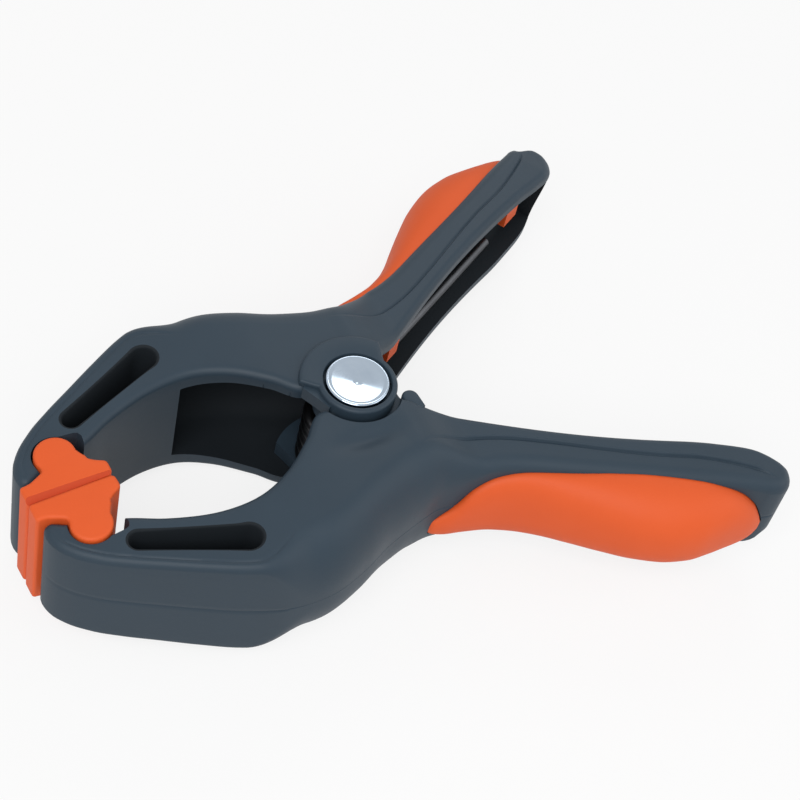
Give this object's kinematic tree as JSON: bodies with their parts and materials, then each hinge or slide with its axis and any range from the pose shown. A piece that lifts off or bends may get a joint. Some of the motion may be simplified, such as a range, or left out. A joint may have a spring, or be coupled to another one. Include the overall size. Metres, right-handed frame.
{
  "type": "spring clamp",
  "caption": "Hand spring clamp with channel-section arms, soft grips, swivelling jaw pads and a torsion spring on a riveted pivot.",
  "frame": {"origin": "on the pivot's axis, midway between the two outer ears", "axes": "+Z along the pivot's axis, up through the rivet's head; -X towards the jaws' tips, +X towards the handles; +Y on the rear arm's side. The closed clamp lies on its side."},
  "size_m": [0.1502, 0.1102, 0.0356],
  "materials": {
    "nylon": "satin",
    "grip_rubber": "matte",
    "pad_rubber": "matte",
    "polished_steel": "polished",
    "spring_steel": "drawn wire"
  },
  "bodies": {
    "front_arm": {"front_arm": "nylon", "front_grip": "grip_rubber", "pivot_pin": "polished_steel", "pivot_cap": "polished_steel", "torsion_spring": "spring_steel"},
    "rear_arm": {"rear_arm": "nylon", "rear_grip": "grip_rubber"},
    "front_pad": {"front_jaw_pad": "pad_rubber"},
    "rear_pad": {"rear_jaw_pad": "pad_rubber"}
  },
  "joints": [
    {"name": "jaw_opening", "type": "hinge", "parent": "front_arm", "child": "rear_arm", "pos_m": [0, 0, 0], "axis": [0, 0, -1], "range_deg": [0, 48], "stiffness_Nm_per_rad": 2.2, "springref_deg": -20.05, "deforming": ["torsion_spring"]},
    {"name": "rear_pad_swivel", "type": "hinge", "parent": "rear_arm", "child": "rear_pad", "pos_m": [-0.0616, 0.0082, 0], "axis": [0, 0, 1], "range_deg": [0, 24]},
    {"name": "front_pad_swivel", "type": "hinge", "parent": "front_arm", "child": "front_pad", "pos_m": [-0.0616, -0.0082, 0], "axis": [0, 0, -1], "range_deg": [0, 24]}
  ],
  "couplings": [
    {"joint": "rear_pad_swivel", "follows": "jaw_opening", "ratio": 0.5},
    {"joint": "front_pad_swivel", "follows": "jaw_opening", "ratio": 0.5}
  ]
}
